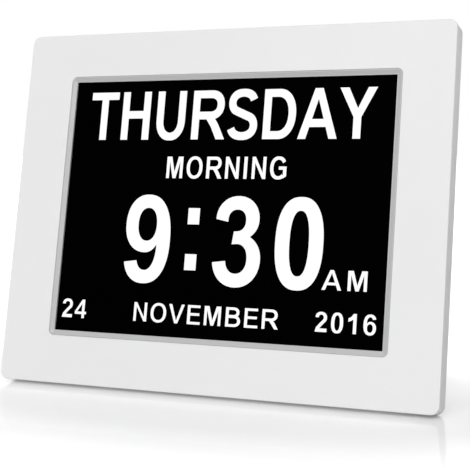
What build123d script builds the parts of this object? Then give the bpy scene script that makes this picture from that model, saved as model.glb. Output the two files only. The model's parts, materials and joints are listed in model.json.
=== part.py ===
"""A free-standing day clock: an 8 inch 4:3 screen in a thin white case with a fold-out stand.

Units are millimetres and degrees. +Z is up and the screen looks towards -Y, leaning back.
The origin is on the table, under the middle of the clock as it stands with its leg open.

The case and all that it holds are drawn on planes that lean with it. behind(d) is such a plane,
d behind the front face, seen from the back: its X runs to the right as seen from behind, its Y
up the case from the middle of the front face, and an extrusion goes backwards.
"""

from build123d import *
from math import cos, radians, sin
import os

# ---------------------------------------------------------------- driving dimensions
screen_width, screen_height = 162.0, 121.5  # visible picture, 8 inch diagonal, 4:3
top_border, bottom_border = 24.0, 25.0  # case beyond the picture
left_border, right_border = 27.3, 25.9  # as seen from the front
lean = 11.0  # of the case, back from upright
stand_angle = 25.0  # between the folded leg and the open leg

case_width = screen_width + left_border + right_border
case_height = screen_height + top_border + bottom_border
screen_up = (bottom_border - top_border) / 2  # middle of the picture above the middle of the face
screen_across = (right_border - left_border) / 2  # and right of it, as seen from behind
case_radius = 4.0  # corners of the case, seen from the front
rim_depth = 11.2  # thickness of the case at its edge
total_depth = 22.5  # thickness over the raised back
face_wall = 1.8  # front plate of the bezel
wall = 2.0  # side walls, rim plate and raised back
front_edge_radius, rear_edge_radius = 0.5, 0.8
slip = 0.1  # gap each side between moulded parts that slot together

parting_depth = 7.0  # where the bezel's side wall ends
parting_gap = 0.25  # shadow line between the bezel and the rear cover
tongue_depth, tongue_wall = 1.6, 1.0
tongue_front = parting_depth - tongue_depth

trim_width = 2.5  # sloping trim round the picture
trim_lip = 0.4  # flat inner edge of the trim
trim_front, trim_inner = 0.3, 0.95  # depths of its outer and inner edges
trim_flange_width, trim_flange = 2.0, 0.8
window_radius = 2.5

lcd_width, lcd_height = 176.0, 135.0  # outline of the display module
lcd_front, lcd_back = face_wall, 6.4
lcd_sheet = 0.4  # its sheet-metal frame

back_width, back_height = 184.0, 148.0  # raised back, where it leaves the rim plate
back_radius, back_taper, back_edge_radius = 9.0, 6.0, 3.0
inside_back = total_depth - wall  # inner face of the raised back's rear wall
root = 0.5  # how far bosses and posts run into the wall that carries them

hinge_up, hinge_depth = 14.75, 18.5  # axis of the stand, from the middle of the face
pin_radius, pin_play = 1.25, 0.05
bay_half_width, bay_floor, bay_top = 19.5, 15.0, 24.0

board_front, board_thickness = 11.0, 1.6
board_back = board_front + board_thickness

# ---------------------------------------------------------------- leaning planes and axes
lean_sin, lean_cos = sin(radians(lean)), cos(radians(lean))
up_case = Vector(0, lean_sin, lean_cos)
backwards = Vector(0, lean_cos, -lean_sin)
face_height = (
    rear_edge_radius
    + (case_height / 2 - rear_edge_radius) * lean_cos
    + (rim_depth - rear_edge_radius) * lean_sin
)  # stands the rounded rear edge of the rim on the table
face_set_forward = 16.1  # centres the box of the standing clock on the origin
face_middle = Vector(0, -face_set_forward, face_height)
depth_axis = Axis(face_middle, backwards)


def at(x, y, depth):
    """The point x to the right as seen from behind, y up the case and depth behind its face."""
    return face_middle + Vector(-x, 0, 0) + up_case * y + backwards * depth


def behind(depth):
    """Plane at a depth behind the front face, seen from behind."""
    return Plane(at(0, 0, depth), x_dir=(-1, 0, 0), z_dir=backwards)


def on_picture(depth, rise=0.0):
    """Plane at a depth as behind() gives it, but over the middle of the picture."""
    return Plane(at(screen_across, screen_up + rise, depth), x_dir=(-1, 0, 0), z_dir=backwards)


def port_side(x):
    """Plane across the case at x, looking out of its right-hand side: X is up the case, Y is depth."""
    return Plane(at(x, 0, 0), x_dir=up_case, z_dir=(-1, 0, 0))


def radial(x, y):
    """Plane for turned parts round the depth axis through (x, y): X is the radius, Y is depth."""
    return Plane(at(x, y, 0), x_dir=(-1, 0, 0), z_dir=-up_case)


def spun(x, y):
    """The axis that parts on radial(x, y) are turned about."""
    return Axis(at(x, y, 0), backwards)


def save(part, name):
    part.label = name
    export_step(part, f"parts/{name}.step")


os.makedirs("parts", exist_ok=True)

# ---------------------------------------------------------------- front bezel
window_width = screen_width + 2 * trim_width
window_height = screen_height + 2 * trim_width
case_boss_places = [(x, y) for x in (-99.8, 99.8) for y in (-72.5, 0, 72.5)]
case_boss_meet = 6.8  # depth where the bezel's bosses end and the cover's begin
case_boss_radius, case_pilot_radius, case_pilot_depth = 3.5, 1.43, 4.2
clip_places = [(-60, 73.5), (60, 73.5), (-60, -73.5), (18, -73.5)]
clip_boss_radius, clip_pilot_radius, clip_pilot_depth = 2.75, 0.98, 3.8
locating_rib, locating_gap, locating_height = 1.2, 0.4, 4.0
cable_middle, cable_width = 54.0, 34.0  # the display's flat cable leaves at the bottom

with BuildPart() as front_bezel:
    with BuildSketch(behind(0)):
        RectangleRounded(case_width, case_height, case_radius)
    extrude(amount=parting_depth)
    fillet(front_bezel.faces().sort_by(depth_axis)[0].edges(), front_edge_radius)
    with BuildSketch(behind(face_wall)):
        RectangleRounded(case_width - 2 * wall, case_height - 2 * wall, case_radius - wall)
    extrude(amount=parting_depth, mode=Mode.SUBTRACT)
    with BuildSketch(behind(tongue_front)):
        RectangleRounded(
            case_width - 2 * tongue_wall, case_height - 2 * tongue_wall, case_radius - tongue_wall
        )
    extrude(amount=tongue_depth, mode=Mode.SUBTRACT)
    # window, with a step round its back for the trim's flange
    with BuildSketch(on_picture(0)):
        RectangleRounded(window_width, window_height, window_radius)
    extrude(amount=face_wall, mode=Mode.SUBTRACT)
    with BuildSketch(on_picture(face_wall - trim_flange)):
        RectangleRounded(
            window_width + 2 * trim_flange_width,
            window_height + 2 * trim_flange_width,
            window_radius + trim_flange_width,
        )
    extrude(amount=trim_flange, mode=Mode.SUBTRACT)
    fillet(front_bezel.faces().sort_by(depth_axis)[0].inner_wires()[0].edges(), 0.3)
    # ribs that locate the corners of the display module
    with BuildSketch(on_picture(face_wall)):
        Rectangle(
            lcd_width + 2 * (locating_gap + locating_rib),
            lcd_height + 2 * (locating_gap + locating_rib),
        )
        Rectangle(lcd_width + 2 * locating_gap, lcd_height + 2 * locating_gap, mode=Mode.SUBTRACT)
        Rectangle(lcd_width - 60, case_height - 2 * wall - 2, mode=Mode.SUBTRACT)
        Rectangle(case_width - 2 * wall, lcd_height - 50, mode=Mode.SUBTRACT)
        with Locations((cable_middle, -lcd_height / 2)):
            Rectangle(cable_width + 14, 12, mode=Mode.SUBTRACT)
    extrude(amount=locating_height)
    # screw bosses, tied to the side walls by short ribs
    with BuildSketch(behind(face_wall)):
        for x, y in case_boss_places:
            with Locations((x * 1.04, y)):
                Rectangle(4.5, 1.2)
    extrude(amount=tongue_front - face_wall)
    with BuildSketch(behind(face_wall)):
        with Locations(*case_boss_places):
            Circle(case_boss_radius)
    extrude(amount=case_boss_meet - face_wall)
    with BuildSketch(behind(face_wall)):
        with Locations(*clip_places):
            Circle(clip_boss_radius)
    extrude(amount=lcd_back - face_wall)
    with BuildSketch(behind(case_boss_meet)):
        with Locations(*case_boss_places):
            Circle(case_pilot_radius)
    extrude(amount=-case_pilot_depth, mode=Mode.SUBTRACT)
    with BuildSketch(behind(lcd_back)):
        with Locations(*clip_places):
            Circle(clip_pilot_radius)
    extrude(amount=-clip_pilot_depth, mode=Mode.SUBTRACT)
save(front_bezel.part, "front_bezel")

# ---------------------------------------------------------------- screen trim
with BuildPart() as screen_trim:
    with BuildSketch(on_picture(trim_front)):
        RectangleRounded(window_width - 2 * slip, window_height - 2 * slip, window_radius - slip)
    extrude(amount=face_wall - trim_front)
    with BuildSketch(on_picture(face_wall - trim_flange + slip / 2)):
        RectangleRounded(
            window_width + 2 * (trim_flange_width - slip),
            window_height + 2 * (trim_flange_width - slip),
            window_radius + trim_flange_width - slip,
        )
    extrude(amount=trim_flange - slip / 2)
    with BuildSketch(on_picture(trim_front)):
        RectangleRounded(window_width - 1.0, window_height - 1.0, window_radius - 0.5)
    with BuildSketch(on_picture(trim_inner)):
        RectangleRounded(screen_width + 2 * trim_lip, screen_height + 2 * trim_lip, 0.5)
    loft(ruled=True, mode=Mode.SUBTRACT)
    with BuildSketch(on_picture(trim_inner)):
        RectangleRounded(screen_width, screen_height, 0.2)
    extrude(amount=face_wall, mode=Mode.SUBTRACT)
save(screen_trim.part, "screen_trim")

# ---------------------------------------------------------------- display module
glass_front, glass_back = lcd_front + lcd_sheet, 3.3
films_back = 3.7
plate_front = lcd_back - 0.5
glass_width, glass_height = lcd_width - 2.0, lcd_height - 2.0
guide_width, guide_height, guide_up = 173.0, 129.0, 1.5
cable_notch = cable_width + 8

with BuildPart() as lcd_frame:
    with BuildSketch(on_picture(lcd_front)):
        RectangleRounded(lcd_width, lcd_height, 1.0)
    extrude(amount=lcd_back - lcd_front)
    with BuildSketch(on_picture(glass_front)):
        Rectangle(lcd_width - 2 * lcd_sheet, lcd_height - 2 * lcd_sheet)
    extrude(amount=lcd_back, mode=Mode.SUBTRACT)
    with BuildSketch(on_picture(lcd_front)):
        Rectangle(screen_width + 3, screen_height + 3)
    extrude(amount=lcd_sheet, mode=Mode.SUBTRACT)
    with BuildSketch(on_picture(glass_front)):
        with Locations((cable_middle, -lcd_height / 2)):
            Rectangle(cable_notch, 3)
    extrude(amount=lcd_back, mode=Mode.SUBTRACT)
save(lcd_frame.part, "lcd_frame")

with BuildPart() as lcd_glass:
    with BuildSketch(on_picture(glass_front)):
        Rectangle(glass_width, glass_height)
    extrude(amount=glass_back - glass_front)
save(lcd_glass.part, "lcd_glass")

with BuildPart() as diffuser_films:
    with BuildSketch(on_picture(glass_back, guide_up)):
        Rectangle(guide_width, guide_height)
    extrude(amount=films_back - glass_back)
save(diffuser_films.part, "diffuser_films")

with BuildPart() as light_guide:
    with BuildSketch(on_picture(films_back, guide_up)):
        Rectangle(guide_width, guide_height)
    extrude(amount=plate_front - films_back)
save(light_guide.part, "light_guide")

led_low = guide_up - guide_height / 2 - 1.2
with BuildPart() as backlight_leds:
    with BuildSketch(on_picture(films_back)):
        with Locations((-20, led_low)):
            Rectangle(110, 0.8)
    extrude(amount=plate_front - films_back)
    with BuildSketch(on_picture(films_back + 0.3)):
        with Locations((-20, led_low + 0.6)):
            with GridLocations(12, 1, 9, 1):
                Rectangle(3.0, 0.6)
    extrude(amount=1.4)
save(backlight_leds.part, "backlight_leds")

with BuildPart() as lcd_back_plate:
    with BuildSketch(on_picture(plate_front)):
        RectangleRounded(lcd_width - 2 * lcd_sheet - 0.2, lcd_height - 2 * lcd_sheet - 0.2, 0.8)
        with Locations((cable_middle, -lcd_height / 2)):
            Rectangle(cable_notch, 4.0, mode=Mode.SUBTRACT)
    extrude(amount=lcd_back - plate_front)
    # stiffening beads pressed into the sheet
    with BuildSketch(on_picture(lcd_back)):
        with GridLocations(0, 44, 1, 2):
            SlotOverall(120, 5)
    extrude(amount=0.3, taper=30)
save(lcd_back_plate.part, "lcd_back_plate")

clip_sheet = 0.6
with BuildPart() as lcd_clips:
    with BuildSketch(behind(lcd_back)):
        for x, y in clip_places:
            with Locations((x, y - 3.2 if y > 0 else y + 3.2)):
                RectangleRounded(8, 12.4, 1.5)
        with Locations(*clip_places):
            Circle(1.2, mode=Mode.SUBTRACT)
    extrude(amount=clip_sheet)
save(lcd_clips.part, "lcd_clips")


def pan_head_screws(places, seat, head_radius, head_height, shank_radius, shank_length, side):
    """Screws with cross recesses, heads on the plane at depth seat; side is 1 for heads behind it."""
    with BuildPart() as screws:
        with BuildSketch(behind(seat)):
            with Locations(*places):
                Circle(head_radius)
        extrude(amount=side * head_height)
        ends = screws.faces().filter_by(GeomType.PLANE).sort_by(depth_axis)
        tops = ends[-len(places):] if side > 0 else ends[: len(places)]
        fillet(tops.edges(), head_height * 0.45)
        with BuildSketch(behind(seat + side * head_height)):
            with Locations(*places):
                Rectangle(head_radius * 1.1, head_radius * 0.26)
                Rectangle(head_radius * 0.26, head_radius * 1.1)
        extrude(amount=-side * head_height * 0.6, mode=Mode.SUBTRACT)
        with BuildSketch(behind(seat)):
            with Locations(*places):
                Circle(shank_radius)
        extrude(amount=-side * shank_length)
    return screws.part


clip_screws = pan_head_screws(clip_places, lcd_back + clip_sheet, 1.9, 1.2, 0.95, 4.0, 1)
save(clip_screws, "lcd_clip_screws")

# ---------------------------------------------------------------- rear cover
case_screw_seat, case_screw_head = 9.0, 1.7
key_row_up, key_pitch, key_count = 60.0, 13.0, 7
key_width, key_height = 8.0, 5.0
keyhole_side, keyhole_up, keyhole_rise = 62.0, 38.0, 8.5
keyhole_radius, keyhole_slot_width, keyhole_room = 4.0, 4.0, 4.2
speaker_x, speaker_y, speaker_radius = -58.0, -35.0, 14.0
board_left, board_right, board_low, board_high = 27.0, 88.0, -55.0, 35.0
board_posts = [(31, 31), (84, 31), (31, -51), (84, -51)]
key_board_width, key_board_height = 104.0, 12.0
key_board_front, key_board_back = 14.0, 15.2
key_board_posts = [(-48, key_row_up), (48, key_row_up)]
post_radius, board_pilot_radius = 2.6, 1.03
port_mouth = 90.6  # how far out the sockets reach
jack_up, usb_up, card_up = 20.0, 2.0, -27.0
jack_width, jack_height, jack_length = 8.0, 6.4, 11.5
jack_bore_radius, jack_bore_depth, jack_pin_radius, jack_pin_length = 1.95, 9.0, 0.65, 8.6
usb_width, usb_height, usb_length = 14.0, 6.4, 13.6
card_width, card_height, card_length = 28.0, 3.0, 27.0
jack_depth = board_back + jack_height / 2
usb_depth = board_back + usb_height / 2
card_depth = board_back + card_height / 2

with BuildPart() as rear_cover:
    cover_front = parting_depth + parting_gap
    with BuildSketch(behind(cover_front)):
        RectangleRounded(case_width, case_height, case_radius)
    extrude(amount=rim_depth - cover_front)
    fillet(rear_cover.faces().sort_by(depth_axis)[-1].edges(), rear_edge_radius)
    with BuildSketch(behind(rim_depth - wall)):
        RectangleRounded(back_width, back_height, back_radius)
    extrude(amount=total_depth - rim_depth + wall, taper=back_taper)
    fillet(rear_cover.faces().sort_by(depth_axis)[-1].edges(), back_edge_radius)
    # hollow of the rim and of the raised back
    with BuildSketch(behind(cover_front)):
        RectangleRounded(case_width - 2 * wall, case_height - 2 * wall, case_radius - wall)
    extrude(amount=rim_depth - wall - cover_front, mode=Mode.SUBTRACT)
    with BuildSketch(behind(rim_depth - wall)):
        RectangleRounded(back_width - 2 * wall, back_height - 2 * wall, back_radius - wall)
    extrude(amount=inside_back - rim_depth + wall, taper=back_taper, mode=Mode.SUBTRACT)
    # tongue that slips inside the bezel's wall
    with BuildSketch(behind(tongue_front + 2 * slip)):
        RectangleRounded(
            case_width - 2 * (tongue_wall + slip),
            case_height - 2 * (tongue_wall + slip),
            case_radius - tongue_wall - slip,
        )
        RectangleRounded(
            case_width - 2 * wall, case_height - 2 * wall, case_radius - wall, mode=Mode.SUBTRACT
        )
    extrude(amount=rim_depth - wall - tongue_front - 2 * slip)
    # bosses that meet the bezel's, each with a sunk seat for the screw head
    with BuildSketch(behind(case_boss_meet)):
        with Locations(*case_boss_places):
            Circle(4.3)
    extrude(amount=rim_depth - 1 - case_boss_meet)
    with BuildSketch(behind(case_screw_seat)):
        with Locations(*case_boss_places):
            Circle(3.1)
    extrude(amount=rim_depth, mode=Mode.SUBTRACT)
    with BuildSketch(behind(case_boss_meet)):
        with Locations(*case_boss_places):
            Circle(1.6)
    extrude(amount=wall + 1, mode=Mode.SUBTRACT)
    # bay that the leg folds into, open at the bottom
    bay_low = -back_height / 2
    with BuildSketch(behind(bay_floor - wall)):
        with Locations((0, (bay_low + 1 + bay_top + wall) / 2)):
            Rectangle(2 * (bay_half_width + wall), bay_top + wall - bay_low - 1)
    extrude(amount=inside_back - bay_floor + wall + root)
    with BuildSketch(behind(bay_floor)):
        with Locations((0, (bay_low - 6 + bay_top) / 2)):
            Rectangle(2 * bay_half_width, bay_top - bay_low + 6)
    extrude(amount=total_depth, mode=Mode.SUBTRACT)
    # posts for the main board and the key board
    for places, post_end, pilot_depth in (
        (board_posts, board_back, 5.5),
        (key_board_posts, key_board_back, 4.5),
    ):
        with BuildSketch(behind(post_end)):
            with Locations(*places):
                Circle(post_radius)
        extrude(amount=inside_back + root - post_end)
        with BuildSketch(behind(post_end)):
            with Locations(*places):
                Circle(board_pilot_radius)
        extrude(amount=pilot_depth, mode=Mode.SUBTRACT)
    # ring that holds the loudspeaker, and its grille
    with BuildSketch(behind(inside_back - 5)):
        with Locations((speaker_x, speaker_y)):
            Circle(speaker_radius + 1.4)
            Circle(speaker_radius + 0.2, mode=Mode.SUBTRACT)
    extrude(amount=5 + root)
    with BuildSketch(behind(inside_back - root)):
        with Locations((speaker_x, speaker_y)):
            Circle(0.9)
            for ring, holes in ((3.6, 6), (7.2, 12), (10.8, 18)):
                with PolarLocations(ring, holes):
                    Circle(0.9)
    extrude(amount=wall + 1, mode=Mode.SUBTRACT)
    # keyholes for hanging, each over a closed pocket
    keyhole_sides = [(-keyhole_side, keyhole_up + 3.5), (keyhole_side, keyhole_up + 3.5)]
    with BuildSketch(behind(inside_back - keyhole_room - 1.5)):
        with Locations(*keyhole_sides):
            Rectangle(16, 23)
    extrude(amount=keyhole_room + 1.5 + root)
    with BuildSketch(behind(inside_back - keyhole_room)):
        with Locations(*keyhole_sides):
            Rectangle(13, 20)
    extrude(amount=keyhole_room, mode=Mode.SUBTRACT)
    with BuildSketch(behind(inside_back - root)):
        for side in (-keyhole_side, keyhole_side):
            with Locations((side, keyhole_up)):
                Circle(keyhole_radius)
            with Locations((side, keyhole_up + keyhole_rise / 2)):
                SlotCenterToCenter(keyhole_rise, keyhole_slot_width, rotation=90)
    extrude(amount=wall + 1, mode=Mode.SUBTRACT)
    # cooling slots
    with BuildSketch(behind(inside_back - root)):
        for middle, count in (((0, 39), 13), ((58, -60), 9), ((-58, -60), 9)):
            with Locations(middle):
                with GridLocations(4.6, 1, count, 1):
                    SlotOverall(12, 2.0, rotation=90)
    extrude(amount=wall + 1, mode=Mode.SUBTRACT)
    # holes for the keys
    with BuildSketch(behind(inside_back - root)):
        with Locations((0, key_row_up)):
            with GridLocations(key_pitch, 1, key_count, 1):
                SlotOverall(key_width + 0.5, key_height + 0.5)
    extrude(amount=wall + 1, mode=Mode.SUBTRACT)
    # openings in the side wall for the sockets
    with BuildSketch(port_side(port_mouth - 3)):
        for up, depth, width, height in (
            (jack_up, jack_depth, jack_width, jack_height),
            (usb_up, usb_depth, usb_width, usb_height),
            (card_up, card_depth, card_width, card_height),
        ):
            with Locations((up, depth)):
                RectangleRounded(width + 0.4, height + 0.4, 0.5)
    extrude(amount=6, mode=Mode.SUBTRACT)
    # bosses and holes for the hinge pin in the walls of the bay; the pin is pushed in from the left
    for x in (-bay_half_width - wall - 3, bay_half_width + wall):
        with BuildSketch(port_side(x)):
            with Locations((hinge_up, hinge_depth)):
                Circle(2.0 + pin_radius)
        extrude(amount=3)
    with BuildSketch(port_side(-bay_half_width - wall - 3)):
        with Locations((hinge_up, hinge_depth)):
            Circle(pin_radius + 0.02)
    extrude(amount=2 * (bay_half_width + wall) + 5, mode=Mode.SUBTRACT)
save(rear_cover.part, "rear_cover")

case_screws = pan_head_screws(case_boss_places, case_screw_seat, 2.7, case_screw_head, 1.4, 5.9, 1)
save(case_screws, "case_screws")

# ---------------------------------------------------------------- fold-out stand
open_from_upright = radians(stand_angle - lean)
hinge_point = at(0, hinge_up, hinge_depth)
leg_out = Vector(0, cos(open_from_upright), sin(open_from_upright))
leg_length = hinge_point.Z / cos(open_from_upright)
barrel_radius = 3.2
leg_skin = 1.0  # inner side of the leg's skin, from the hinge axis
rib_reach = 2.0  # how far its ribs stand in from the hinge axis
leg_top_half, leg_waist_half, leg_foot_half = 18.6, 12.5, 15.0
heel_top, heel_play = 5.5, 0.08
foot_length, tenon_width, tenon_length, tenon_thickness = 7.0, 22.0, 4.0, 1.6
foot_joint = -leg_length + foot_length


def along_leg(outwards):
    """Plane along the open leg, at a distance outwards from the hinge axis, seen from behind."""
    return Plane(hinge_point + leg_out * outwards, x_dir=(-1, 0, 0), z_dir=leg_out)


with BuildPart() as stand_leg:
    with BuildSketch(along_leg(leg_skin)) as leg_outline:
        with BuildLine():
            right_edge = ThreePointArc(
                (leg_top_half, -8), (leg_waist_half, -leg_length * 0.55), (leg_foot_half, foot_joint)
            )
            left_edge = mirror(right_edge, about=Plane.YZ)
            Line(left_edge @ 1, right_edge @ 1)
            Polyline(left_edge @ 0, (-leg_top_half, 0), (leg_top_half, 0), right_edge @ 0)
        make_face()
    extrude(amount=barrel_radius - leg_skin)
    outer_face = stand_leg.faces().sort_by(Axis(hinge_point, leg_out))[-1]
    fillet(outer_face.edges().filter_by(GeomType.CIRCLE), 0.6)
    # rib round the edge and a ladder of cross ribs on the inner side
    with BuildSketch(along_leg(-rib_reach)):
        add(leg_outline.sketch_local)
        offset(leg_outline.sketch_local, amount=-1.6, mode=Mode.SUBTRACT)
    extrude(amount=rib_reach + leg_skin)
    with BuildSketch(along_leg(-rib_reach + 1)):
        with Locations((0, -leg_length * 0.5)):
            with GridLocations(1, leg_length * 0.17, 1, 4):
                Rectangle(2 * leg_top_half, 1.2)
        add(leg_outline.sketch_local, mode=Mode.INTERSECT)
    extrude(amount=rib_reach - 1 + leg_skin)
    # barrel round the pin, and above it the heel that stops against the floor of the bay
    with BuildSketch(port_side(-leg_top_half)):
        with Locations((hinge_up, hinge_depth)):
            Circle(barrel_radius)
    extrude(amount=2 * leg_top_half)
    with BuildSketch(along_leg(-rib_reach)):
        with Locations((0, heel_top / 2)):
            Rectangle(26, heel_top)
    extrude(amount=rib_reach + barrel_radius - 0.8)
    split(bisect_by=behind(bay_floor + heel_play), keep=Keep.TOP)
    with BuildSketch(port_side(-leg_top_half)):
        with Locations((hinge_up, hinge_depth)):
            Circle(pin_radius + pin_play)
    extrude(amount=2 * leg_top_half, mode=Mode.SUBTRACT)
    # tenon that carries the rubber foot
    with BuildSketch(along_leg(0.2)):
        with Locations((0, foot_joint)):
            Rectangle(tenon_width, 2 * tenon_length)
    extrude(amount=tenon_thickness)
save(stand_leg.part, "stand_leg")

with BuildPart() as stand_foot_pad:
    with BuildSketch(along_leg(-rib_reach)):
        with Locations((0, foot_joint - foot_length)):
            Rectangle(2 * leg_foot_half, 2 * foot_length)
    extrude(amount=rib_reach + barrel_radius)
    fillet(stand_foot_pad.edges().filter_by(Axis(hinge_point, leg_out)), 2.0)
    split(bisect_by=Plane.XY, keep=Keep.TOP)
    with BuildSketch(along_leg(0.2)):
        with Locations((0, foot_joint - tenon_length / 2)):
            Rectangle(tenon_width, tenon_length)
    extrude(amount=tenon_thickness, mode=Mode.SUBTRACT)
save(stand_foot_pad.part, "stand_foot_pad")

with BuildPart() as stand_hinge_pin:
    with BuildSketch(port_side(-bay_half_width - wall - 2.5)):
        with Locations((hinge_up, hinge_depth)):
            Circle(pin_radius)
    extrude(amount=2 * (bay_half_width + wall) + 4.3)
    chamfer(stand_hinge_pin.edges(), 0.25)
save(stand_hinge_pin.part, "stand_hinge_pin")

# ---------------------------------------------------------------- keys on the back
key_names = ["power", "menu", "up", "down", "left", "right", "ok"]
cap_proud = 1.1
flange_front, flange_reach, flange_play = 19.3, 1.2, 0.1
stem_front, stem_radius = 17.6, 1.6
for index, key in enumerate(key_names):
    key_x = (index - (key_count - 1) / 2) * key_pitch
    with BuildPart() as key_cap:
        with BuildSketch(behind(flange_front)):
            with Locations((key_x, key_row_up)):
                SlotOverall(key_width + 2 * flange_reach, key_height + 2 * flange_reach)
        extrude(amount=inside_back - flange_play - flange_front)
        with BuildSketch(behind(flange_front)):
            with Locations((key_x, key_row_up)):
                SlotOverall(key_width, key_height)
        extrude(amount=total_depth + cap_proud - flange_front)
        fillet(key_cap.faces().sort_by(depth_axis)[-1].edges(), 0.7)
    save(key_cap.part, f"{key}_key")
    with BuildPart() as switch_stem:
        with BuildSketch(behind(stem_front)):
            with Locations((key_x, key_row_up)):
                Circle(stem_radius)
        extrude(amount=flange_front - stem_front)
        chamfer(switch_stem.faces().sort_by(depth_axis)[0].edges(), 0.2)
    save(switch_stem.part, f"{key}_switch_stem")

switch_back, switch_well = 18.5, 16.6
with BuildPart() as key_switches:
    with BuildSketch(behind(key_board_back)):
        with Locations((0, key_row_up)):
            with GridLocations(key_pitch, 1, key_count, 1):
                RectangleRounded(6, 6, 0.5)
    extrude(amount=switch_back - key_board_back)
    with BuildSketch(behind(switch_well)):
        with Locations((0, key_row_up)):
            with GridLocations(key_pitch, 1, key_count, 1):
                Circle(stem_radius + 0.15)
    extrude(amount=switch_back, mode=Mode.SUBTRACT)
save(key_switches.part, "key_switches")

with BuildPart() as key_board:
    with BuildSketch(behind(key_board_front)):
        with Locations((0, key_row_up)):
            RectangleRounded(key_board_width, key_board_height, 1)
        with Locations(*key_board_posts):
            Circle(1.2, mode=Mode.SUBTRACT)
    extrude(amount=key_board_back - key_board_front)
save(key_board.part, "key_board")

key_board_screws = pan_head_screws(key_board_posts, key_board_front, 1.9, 1.2, 1.0, 5.0, -1)
save(key_board_screws, "key_board_screws")

# ---------------------------------------------------------------- main board
with BuildPart() as main_board:
    with BuildSketch(behind(board_front)):
        with Locations(((board_left + board_right) / 2, (board_low + board_high) / 2)):
            RectangleRounded(board_right - board_left, board_high - board_low, 1.5)
        with Locations(*board_posts):
            Circle(1.2, mode=Mode.SUBTRACT)
    extrude(amount=board_thickness)
save(main_board.part, "main_board")

main_board_screws = pan_head_screws(board_posts, board_front, 1.9, 1.2, 1.0, 6.5, -1)
save(main_board_screws, "main_board_screws")


def chip(middle, width, height, body_height, pins_on_four_sides):
    """A flat chip on the back of the main board, with flat pins on two or four of its sides."""
    pitch = 1.6
    with BuildPart() as body:
        with BuildSketch(behind(board_back + 0.1)):
            with Locations(middle):
                Rectangle(width, height)
        extrude(amount=body_height)
        chamfer(body.faces().sort_by(depth_axis)[-1].edges(), 0.2)
        with BuildSketch(behind(board_back)):
            with Locations(middle):
                with GridLocations(width + 0.8, pitch, 2, int(height / pitch) - 1):
                    Rectangle(1.6, 0.7)
                if pins_on_four_sides:
                    with GridLocations(pitch, height + 0.8, int(width / pitch) - 1, 2):
                        Rectangle(0.7, 1.6)
        extrude(amount=0.4)
    return body.part


save(chip((52, 6), 16, 16, 1.4, True), "processor_chip")
save(chip((40, -14), 9, 17, 1.1, False), "memory_chip")
save(chip((66, -48), 8, 5.5, 1.5, False), "flash_chip")

inductor_x, inductor_y = 70, 21
with BuildPart() as power_inductor:
    with BuildSketch(behind(board_back)):
        with Locations((inductor_x, inductor_y)):
            RectangleRounded(7, 7, 1.5)
    extrude(amount=3.2)
    with BuildSketch(radial(inductor_x, inductor_y)):
        with Locations((5.5, board_back + 1.6)):
            Rectangle(5.6, 1.6)
    revolve(axis=spun(inductor_x, inductor_y), mode=Mode.SUBTRACT)
save(power_inductor.part, "power_inductor")

capacitor_places = [(60, 22), (71, 8), (71, -4)]
with BuildPart() as capacitors:
    with BuildSketch(behind(board_back)):
        with Locations(*capacitor_places):
            Rectangle(5.3, 5.3)
    extrude(amount=0.6)
    with BuildSketch(behind(board_back + 0.6)):
        with Locations(*capacitor_places):
            Circle(2.5)
    extrude(amount=5.0)
    fillet(capacitors.faces().sort_by(depth_axis)[-3:].edges(), 0.4)
save(capacitors.part, "capacitors")

with BuildPart() as crystal:
    with BuildSketch(behind(board_back)):
        with Locations((37, 5)):
            SlotOverall(11, 4.6, rotation=90)
    extrude(amount=3.2)
    fillet(crystal.faces().sort_by(depth_axis)[-1].edges(), 0.5)
save(crystal.part, "crystal")

cell_x, cell_y, cell_radius, cell_height = 46, -38, 10.0, 3.2
with BuildPart() as coin_cell_holder:
    with BuildSketch(behind(board_back)):
        with Locations((cell_x, cell_y)):
            Circle(cell_radius + 1.5)
    extrude(amount=1.0)
    with BuildSketch(behind(board_back + 1.0)):
        with Locations((cell_x, cell_y)):
            Circle(cell_radius + 1.5)
            Circle(cell_radius + 0.15, mode=Mode.SUBTRACT)
            Rectangle(9, 40, mode=Mode.SUBTRACT)
    extrude(amount=2.6)
save(coin_cell_holder.part, "coin_cell_holder")

cell_front = board_back + 1.0
with BuildPart() as coin_cell:
    with BuildSketch(radial(cell_x, cell_y)):
        with BuildLine():
            Polyline(
                (0, cell_front),
                (cell_radius - 1.4, cell_front),
                (cell_radius - 1.2, cell_front + 0.4),
                (cell_radius, cell_front + 0.6),
                (cell_radius, cell_front + cell_height),
                (0, cell_front + cell_height),
                close=True,
            )
        make_face()
    revolve(axis=spun(cell_x, cell_y))
    fillet(coin_cell.faces().sort_by(depth_axis)[-1].edges(), 0.3)
save(coin_cell.part, "coin_cell")

# ---------------------------------------------------------------- sockets at the side
with BuildPart() as dc_jack:
    with BuildSketch(port_side(port_mouth - jack_length)):
        with Locations((jack_up, jack_depth)):
            RectangleRounded(jack_width, jack_height, 0.4)
    extrude(amount=jack_length)
    with BuildSketch(port_side(port_mouth - jack_bore_depth)):
        with Locations((jack_up, jack_depth)):
            Circle(jack_bore_radius)
    extrude(amount=jack_bore_depth, mode=Mode.SUBTRACT)
save(dc_jack.part, "dc_jack")

with BuildPart() as dc_jack_pin:
    with BuildSketch(port_side(port_mouth - jack_bore_depth)):
        with Locations((jack_up, jack_depth)):
            Circle(jack_pin_radius)
    extrude(amount=jack_pin_length)
save(dc_jack_pin.part, "dc_jack_pin")

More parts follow.
